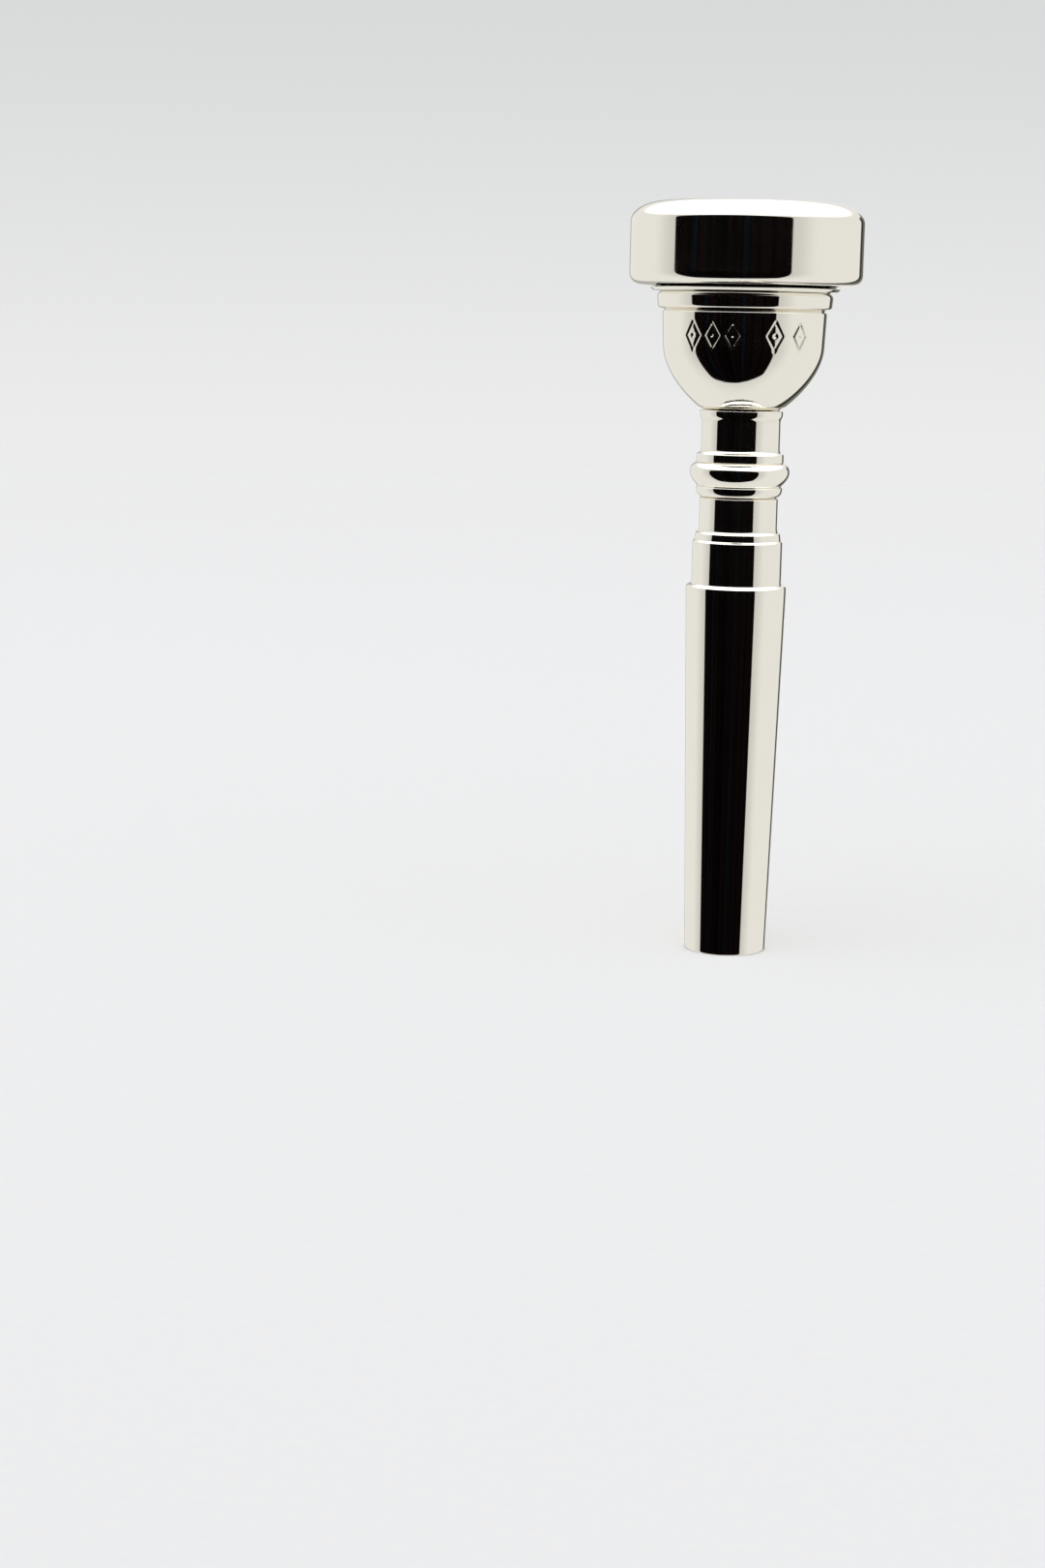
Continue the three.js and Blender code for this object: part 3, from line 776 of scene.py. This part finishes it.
def bowl_outside():
    foot = NECK - FOOT_INSET
    flare = foot + FLARE["out"]
    flare_top = CUP_FOOT + FLARE["up"]
    across = WALL_FOOT_RADIUS - flare
    sweep = bezier(
        (flare, flare_top),
        (flare + 0.38 * across, flare_top + 0.19 * WALL["curve"]),
        (WALL_FOOT_RADIUS - 0.04 * across, WALL_FOOT - 0.41 * WALL["curve"]),
        (WALL_FOOT_RADIUS, WALL_FOOT),
        28,
    )
    struck = math.ceil((ORNAMENT["high"] - WALL_FOOT) / ORNAMENT["row"])
    return [
        (foot, CUP_FOOT, 0.05),
        *sweep[:-1],
        *rows(wall_radius, WALL_FOOT, ORNAMENT["high"], struck),
        (WALL_TOP_RADIUS, CUP_GROOVE_FOOT + CUP_GROOVE["wall"], 0.2),
    ]


def bead_and_flange():
    groove = WALL_TOP_RADIUS - CUP_GROOVE["depth"]
    bead_top = CUP_BEAD_FOOT + CUP_BEAD["length"]
    return [
        (groove, CUP_GROOVE_FOOT + CUP_GROOVE["floor"], 0.04),
        (WALL_TOP_RADIUS, CUP_BEAD_FOOT - 0.06),
        (CUP_BEAD["bottom"], CUP_BEAD_FOOT + 0.04, CUP_BEAD["lower_round"]),
        (CUP_BEAD["top"], bead_top, CUP_BEAD["upper_round"]),
        (CUP_BEAD["top"] - CUP_BEAD["upper_round"], FLANGE_FOOT, 0.04),
        (FLANGE_RADIUS - FLANGE["undercut"], FLANGE_FOOT, 0.04),
        (FLANGE_RADIUS, FLANGE_FOOT + FLANGE["edge"], 0.04),
        (SEAT_RADIUS, RIM_SEAT, 0.05),
    ]


def spigot_and_air_way():
    relief_top = RIM_SEAT + SPIGOT["relief_length"]
    land = SPIGOT_TOP - SPIGOT["land_length"]
    thread_rows = math.ceil((land - relief_top) / PITCH * THREAD_ROWS)
    throat = bezier(
        (bowl_radius(BOWL_FLOOR), BOWL_FLOOR),
        ((bowl_radius(BOWL_FLOOR) + 2 * THROAT_RADIUS) / 3, BOWL_FLOOR - 0.1),
        (THROAT_RADIUS, THROAT_TOP + 0.7),
        (THROAT_RADIUS, THROAT_TOP),
        8,
    )
    bowl = oval((0, BOWL_HEIGHT), BOWL_RADIUS, BOWL_DEPTH, -14.2, -70.7, 24)
    return [
        (SPIGOT["relief"], RIM_SEAT, 0.05),
        (SPIGOT["relief"], relief_top),
        *rows(lambda z: SPIGOT["core"], relief_top, land, thread_rows),
        (SPIGOT["land"], land),
        (SPIGOT["land"], SPIGOT_TOP, 0.15),
        (bowl_radius(SPIGOT_TOP), SPIGOT_TOP),
        *bowl[1:-1],
        *throat,
        *rows(bore_radius, BORE_START, STEM_END + 0.3, 6),
    ]


# %% [markdown]
# ## Striking the ornament
#
# A maker strikes a mark into the bowl with hardened punches before it is plated. Here the
# mark is a plain row of lozenges, three and two, each with a dot in the middle. The punch pushes
# the metal in, so each vertex near a line of the pattern moves in by a rounded groove's depth. The
# line is 0.34 mm wide and 0.12 mm deep, which is what makes it glint.

# %% Ornament
FRONT = math.radians(-94.4)  # the side that faces the camera
LOZENGES = (-38, -23, -8, 22, 42)  # degrees round the wall from the front, at their middles
LOZENGE = {"half_width": 0.92, "half_height": 1.5, "line": 0.34, "depth": 0.12, "dot": 0.3}
FRONT_ARC = (-50, 54)  # degrees that get narrow columns


def groove_depth(distance, width):
    """Depth of a round-bottomed groove at a distance from the middle of its line."""
    near = np.clip(distance / (width / 2), 0, 1)
    return LOZENGE["depth"] * (1 + np.cos(np.pi * near)) / 2


def strike_lozenges(piece):
    places = points_of(piece)
    radii = np.hypot(places[:, 0], places[:, 1])
    height = places[:, 2] - (ORNAMENT["low"] + ORNAMENT["high"]) / 2
    wide, tall = LOZENGE["half_width"], LOZENGE["half_height"]
    slant = wide * tall / math.hypot(wide, tall)
    depth = np.zeros(len(places))
    for degrees in LOZENGES:
        middle = FRONT + math.radians(degrees)
        angle = np.arctan2(places[:, 1], places[:, 0]) - middle
        aside = ((angle + np.pi) % FULL_TURN - np.pi) * radii
        line = np.abs(np.abs(aside) / wide + np.abs(height) / tall - 1) * slant
        dot = np.hypot(aside, height)
        depth = np.maximum(depth, groove_depth(line, LOZENGE["line"]))
        depth = np.maximum(depth, groove_depth(dot, 2 * LOZENGE["dot"]))
    wall = (places[:, 2] > ORNAMENT["low"]) & (places[:, 2] < ORNAMENT["high"])
    wall &= radii > SEAT_RADIUS - 2.2
    set_radii(piece, places, np.where(wall, radii - depth, radii))
    return int((wall & (depth > 0)).sum())


front_sweep = math.radians(FRONT_ARC[1] - FRONT_ARC[0])
front_columns = round(front_sweep * WALL_TOP_RADIUS / ORNAMENT["column"])
rest_columns = round((FULL_TURN - front_sweep) / FULL_TURN * 200)
cup = turned(
    "cup_body",
    drawn(stem_outline() + bowl_outside() + bead_and_flange() + spigot_and_air_way()),
    start=FRONT + math.radians(FRONT_ARC[0]),
    sweeps=((front_sweep, front_columns), (FULL_TURN - front_sweep, rest_columns)),
)
stem_top = STEM_END + STEM_THREAD_LENGTH
stem_zone = (STEM["core"] - 0.05, STEM["core"] + 0.05, STEM_END + STEM["chamfer"], stem_top - 0.06)
spigot_zone = (SPIGOT["core"] - 0.05, SPIGOT["core"] + 0.05, RIM_SEAT + 0.62, SPIGOT_TOP - 0.95)
cut_thread(cup, THREADS["stem"], stem_zone)
cut_thread(cup, THREADS["rim"], spigot_zone)
print("struck vertices:", strike_lozenges(cup))
finish_skin(cup)

# %% [markdown]
# ## The rim
#
# The rim is what the lips rest on: a flat-sided ring with a rounded crown that falls more steeply
# to its inner edge, the bite. Its two curves meet level at the crown's high point, so the mirror
# runs over the top without a break. Inside it has the nut's thread and a groove for the ring.

# %% Rim outline
CROWN_RADIUS, BITE_RADIUS, BITE_DROP, CROWN_DROP = 9.75, 8.05, 1.2, 2.3
UNDERSIDE_RISE, LOWER_CORNER = 0.24, 1.3
RIM_NUT, RIM_GLAND = 9.57, 10.07


def crown_outline():
    wall_top = CROWN - CROWN_DROP
    bite = CROWN - BITE_DROP
    over = bezier(
        (RIM_RADIUS, wall_top),
        (RIM_RADIUS, wall_top + 0.52 * CROWN_DROP),
        (CROWN_RADIUS + 0.56 * (RIM_RADIUS - CROWN_RADIUS), CROWN),
        (CROWN_RADIUS, CROWN),
        32,
    )
    inwards = bezier(
        (CROWN_RADIUS, CROWN),
        (CROWN_RADIUS - 0.5 * (CROWN_RADIUS - BITE_RADIUS), CROWN),
        (BITE_RADIUS, bite + 0.7 * BITE_DROP),
        (BITE_RADIUS, bite),
        14,
    )
    return over + inwards[1:]


def rim_outline():
    shoulder = SPIGOT_TOP + 0.05
    gland = shoulder - GLAND_LENGTH
    mouth = THREADS["rim"]["outer"] + RADIAL_GAP
    thread_foot = RIM_FOOT + mouth - RIM_NUT
    thread_rows = math.ceil((gland - thread_foot) / PITCH * THREAD_ROWS)
    return [
        (mouth, RIM_FOOT),
        (SEAT_RADIUS, RIM_FOOT, 0.06),
        (RIM_RADIUS, RIM_FOOT + UNDERSIDE_RISE, LOWER_CORNER),
        *crown_outline(),
        *rows(bowl_radius, BOWL_HEIGHT, shoulder, 10),
        (RIM_GLAND, shoulder, 0.06),
        (RIM_GLAND, gland, 0.06),
        *rows(lambda z: RIM_NUT, gland, thread_foot, thread_rows),
    ]


rim = turned("rim_body", drawn(rim_outline()))
nut_zone = (RIM_NUT - 0.05, RIM_NUT + 0.05, RIM_FOOT + 0.62, SPIGOT_TOP - GLAND_LENGTH)
cut_thread(rim, THREADS["rim"], nut_zone, spare=(1.5, 0.25), **nut_play)
finish_skin(rim)

# %% [markdown]
# ## The rubber rings
#
# Each ring is moulded with a round section and sits squeezed in its groove, so it is a tenth
# narrower across than it is tall, and bulges into the free space above and below. A torus could be
# used, but its section can't be squeezed one way without squashing the whole ring. So a circle is
# stood upright at its place, narrowed, and spun.

# %% Rubber rings
SEAL = {"section": 0.8, "squeeze": 0.9, "points": 32, "columns": 160}


def rubber_ring(name, inner, middle):
    """A squeezed ring of rubber. inner is the radius of its hole, middle its height, in mm."""
    half = SEAL["section"] / 2
    bpy.ops.object.select_all(action="DESELECT")
    bpy.ops.mesh.primitive_circle_add(
        vertices=SEAL["points"],
        radius=half * MM,
        location=((inner + half * SEAL["squeeze"]) * MM, 0, middle * MM),
        rotation=(math.radians(90), 0, 0),
    )
    piece = bpy.context.object
    piece.name = name
    bpy.ops.object.mode_set(mode="EDIT")
    bpy.ops.mesh.select_all(action="SELECT")
    bpy.ops.transform.resize(value=(SEAL["squeeze"], 1, 1))
    bpy.ops.mesh.spin(steps=SEAL["columns"], angle=FULL_TURN, center=(0, 0, 0), axis=(0, 0, 1))
    bpy.ops.mesh.select_all(action="SELECT")
    bpy.ops.mesh.remove_doubles(threshold=WELD)
    bpy.ops.mesh.normals_make_consistent(inside=False)
    bpy.ops.object.mode_set(mode="OBJECT")
    bpy.ops.object.transform_apply(location=True, rotation=True, scale=True)
    finish_skin(piece)
    print(name, "spans", [round(v / MM, 2) for v in piece.dimensions])
    return piece


cup_ring_middle = CUP_FOOT - STEM["pilot_length"] - GLAND_LENGTH / 2
cup_ring = rubber_ring("cup_joint_ring", STEM["gland"] + 0.05, cup_ring_middle)
rim_ring = rubber_ring("rim_joint_ring", SPIGOT["land"] + 0.05, SPIGOT_TOP + 0.05 - GLAND_LENGTH / 2)

# %% [markdown]
# ## Painted shade in the inner corners
#
# Painted shade: the silver is painted darker and warmer in the inner corners, where shade falls.
# To know where those corners are, each vertex looks at its neighbours: where they stand above
# its own surface, it lies in a hollow. The answer is kept on the mesh as a number called recess,
# which the material reads.

# %% Recesses
def note_recesses(piece, passes=3):
    """Stores 0 on open surface and up to 1 in a tight inner corner."""
    mesh = piece.data
    count = len(mesh.vertices)
    flat = np.zeros(3 * count)
    mesh.vertices.foreach_get("normal", flat)
    normals = flat.reshape(-1, 3)
    places = points_of(piece)
    ends = np.zeros(2 * len(mesh.edges), np.int64)
    mesh.edges.foreach_get("vertices", ends)
    a, b = ends.reshape(-1, 2).T
    along = places[b] - places[a]
    along /= np.linalg.norm(along, axis=1)[:, None] + 1e-9
    share = np.bincount(a, minlength=count) + np.bincount(b, minlength=count)
    rise_a = np.sum(along * normals[a], axis=1)
    rise_b = np.sum(-along * normals[b], axis=1)
    hollow = np.bincount(a, rise_a, count) + np.bincount(b, rise_b, count)
    hollow = np.clip(hollow / share * 4, 0, 1)
    for _ in range(passes):
        spread = np.bincount(a, hollow[b], count) + np.bincount(b, hollow[a], count)
        hollow = (hollow + spread / share) / 2
    field = mesh.attributes.new("recess", "FLOAT", "POINT")
    field.data.foreach_set("value", hollow.astype(np.float32))
    return float(hollow.max())


for piece in (backbore, cup, rim):
    print(piece.name, "deepest recess", round(note_recesses(piece), 2))

# %% [markdown]
# ## Silver plate
#
# The finish is bright silver, plated some ten micrometres thick over polished brass. It is the
# whitest of metals, a shade warmer than chrome. Three things keep it from looking computed. The
# buffing wheel leaves fine rings round the axis, which stretch every highlight a little along
# it. Wiping leaves a patchy haze of hairlines, which softens the mirror in places. And painted
# shade darkens and warms the inner corners. Real buffing lines are some 0.02 mm apart, too fine
# to show, so they are drawn 0.25 mm apart and very shallow.

# %% Silver plate material
BUFFING_LINE = 0.25  # mm from line to line
BUFFING_STREAK = 9.0  # mm, how far a line runs before it fades
HAZE_PATCH = 5.0  # mm
HAIRLINE = 0.5  # mm


def silver_plate(name, colour, haze):
    """Bright silver plate over buffed brass. haze is the roughness that wiping adds."""
    material = bpy.data.materials.new(name)
    material.use_nodes = True
    tree = material.node_tree
    tree.nodes.clear()
    place = add(tree, "ShaderNodeTexCoord").outputs["Object"]
    axes = add(tree, "ShaderNodeSeparateXYZ", {"Vector": place})
    level = {"X": axes.outputs["X"], "Y": axes.outputs["Y"], "Z": 0.0}
    level = add(tree, "ShaderNodeCombineXYZ", level)
    radius = add(tree, "ShaderNodeVectorMath", {0: level.outputs[0]}, operation="LENGTH")
    climb = {0: radius.outputs["Value"], 1: 0.6, 2: axes.outputs["Z"]}
    climb = add(tree, "ShaderNodeMath", climb, operation="MULTIPLY_ADD")
    across = 1 / (BUFFING_LINE * MM)
    along = 1 / (BUFFING_STREAK * MM)
    round_lines = {"X": axes.outputs["X"], "Y": axes.outputs["Y"], "Z": climb.outputs[0]}
    round_lines = add(tree, "ShaderNodeCombineXYZ", round_lines)
    stretched = {"Vector": round_lines.outputs[0], "Scale": (along, along, across)}
    stretched = add(tree, "ShaderNodeMapping", stretched, vector_type="POINT")
    buffing = {"Vector": stretched.outputs[0], "Scale": 1.0, "Detail": 2.0, "Roughness": 0.6}
    buffing = add(tree, "ShaderNodeTexNoise", buffing).outputs["Fac"]
    patches = {"Vector": place, "Scale": 1 / (HAZE_PATCH * MM), "Detail": 4.0, "Roughness": 0.65}
    patches = add(tree, "ShaderNodeTexNoise", patches).outputs["Fac"]
    hairs = {"Vector": place, "Scale": 1 / (HAIRLINE * MM), "Detail": 2.0, "Distortion": 1.5}
    hairs = add(tree, "ShaderNodeTexNoise", hairs).outputs["Fac"]
    recess = add(tree, "ShaderNodeAttribute", attribute_name="recess").outputs["Fac"]

    tint = {MIX_FACTOR: patches, MIX_A: linear(colour), MIX_B: linear("#FBF8F0")}
    tint = add(tree, "ShaderNodeMix", tint, data_type="RGBA").outputs[MIX_RESULT]
    # Painted shade: where the recess number is high, the colour turns darker and warmer, towards #B9A67C, in
    # the inner corners.
    corner_shade_share = add(tree, "ShaderNodeMath", {0: recess, 1: 0.55}, operation="MULTIPLY")
    painted_corner_shade = {MIX_FACTOR: corner_shade_share.outputs[0], MIX_A: tint, MIX_B: linear("#B9A67C")}
    painted_corner_shade = add(tree, "ShaderNodeMix", painted_corner_shade, data_type="RGBA").outputs[MIX_RESULT]

    wiped = {"Value": patches, "From Min": 0.35, "From Max": 0.75, "To Min": 0.02, "To Max": 0.02 + haze}
    wiped = add(tree, "ShaderNodeMapRange", wiped)
    rough = {0: hairs, 1: 0.03, 2: wiped.outputs["Result"]}
    rough = add(tree, "ShaderNodeMath", rough, operation="MULTIPLY_ADD")
    rough = {0: recess, 1: 0.15, 2: rough.outputs[0]}
    rough = add(tree, "ShaderNodeMath", rough, operation="MULTIPLY_ADD")

    lines = {"Height": buffing, "Strength": 0.05, "Distance": 0.02 * MM}
    lines = add(tree, "ShaderNodeBump", lines)
    silver = {
        "Base Color": painted_corner_shade,
        "Metallic": 1.0,
        "Roughness": rough.outputs[0],
        "Normal": lines.outputs["Normal"],
    }
    silver = add(tree, "ShaderNodeBsdfPrincipled", silver)
    add(tree, "ShaderNodeOutputMaterial", {"Surface": silver.outputs["BSDF"]})
    return material


# %% [markdown]
# ## Nitrile rubber
#
# The rings are black nitrile rubber, compression moulded and a little greasy from the threads. It
# is near black with a soft sheen. Talc and wear leave a faint grey bloom in patches a millimetre
# or two across, and the mould's ground surface gives a fine grain of about 0.05 mm, drawn at 0.15.

# %% Nitrile rubber material
BLOOM_SIZE, GRAIN_SIZE = 1.5, 0.15


def nitrile_rubber():
    """Black moulded rubber with a greasy sheen, a dusty bloom and a fine grain."""
    material = bpy.data.materials.new("moulded_nitrile_rubber")
    material.use_nodes = True
    tree = material.node_tree
    tree.nodes.clear()
    place = add(tree, "ShaderNodeTexCoord").outputs["Object"]
    bloom = add(tree, "ShaderNodeTexNoise", {"Vector": place, "Scale": 1 / (BLOOM_SIZE * MM), "Detail": 3.0})
    grain = add(tree, "ShaderNodeTexNoise", {"Vector": place, "Scale": 1 / (GRAIN_SIZE * MM), "Detail": 1.0})
    tone = {MIX_FACTOR: bloom.outputs["Fac"], MIX_A: linear("#0E0E0F"), MIX_B: linear("#232425")}
    tone = add(tree, "ShaderNodeMix", tone, data_type="RGBA").outputs[MIX_RESULT]
    sheen = {"Value": bloom.outputs["Fac"], "To Min": 0.38, "To Max": 0.6}
    sheen = add(tree, "ShaderNodeMapRange", sheen)
    bump = {"Height": grain.outputs["Fac"], "Strength": 0.25, "Distance": 0.02 * MM}
    bump = add(tree, "ShaderNodeBump", bump)
    rubber = {
        "Base Color": tone,
        "Roughness": sheen.outputs["Result"],
        "IOR": 1.52,
        "Normal": bump.outputs["Normal"],
    }
    rubber = add(tree, "ShaderNodeBsdfPrincipled", rubber)
    add(tree, "ShaderNodeOutputMaterial", {"Surface": rubber.outputs["BSDF"]})
    return material


# %% [markdown]
# ## Finishes and bodies
#
# Each piece gets its finish, stands in for its solid in the frame, and rides on the body that
# carries it. The rim is handled most, so its silver has the most haze.

# %% Finish and place each piece
rubber = nitrile_rubber()
PIECES = (
    (backbore, "backbore", "backbore", silver_plate("silver_plate_backbore", "#F6F3EA", 0.03)),
    (cup, "cup", "cup", silver_plate("silver_plate_cup", "#F6F3EA", 0.03)),
    (rim, "rim", "rim", silver_plate("silver_plate_rim", "#F6F3EA", 0.05)),
    (cup_ring, "backbore_seal", "seals", rubber),
    (rim_ring, "rim_seal", "seals", rubber),
)
for piece, node, slot, finish in PIECES:
    piece.data.materials.clear()
    piece.data.materials.append(finish)
    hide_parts(node)
    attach(piece, node)
    print(piece.name, "rides on", node, "with", finish.name)

# %% [markdown]
# ## Sizes, and the end
#
# The visual pieces have to fill the same box as the imported model, so both boxes are written down
# for comparison.

# %% Sizes and finish
VISUAL_BOX = [list(corner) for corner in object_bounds()]
for name, corners in (("cad", CAD_BOX), ("visual", VISUAL_BOX)):
    print(name, "spans", [round((high - low) / MM, 2) for low, high in zip(*corners)])
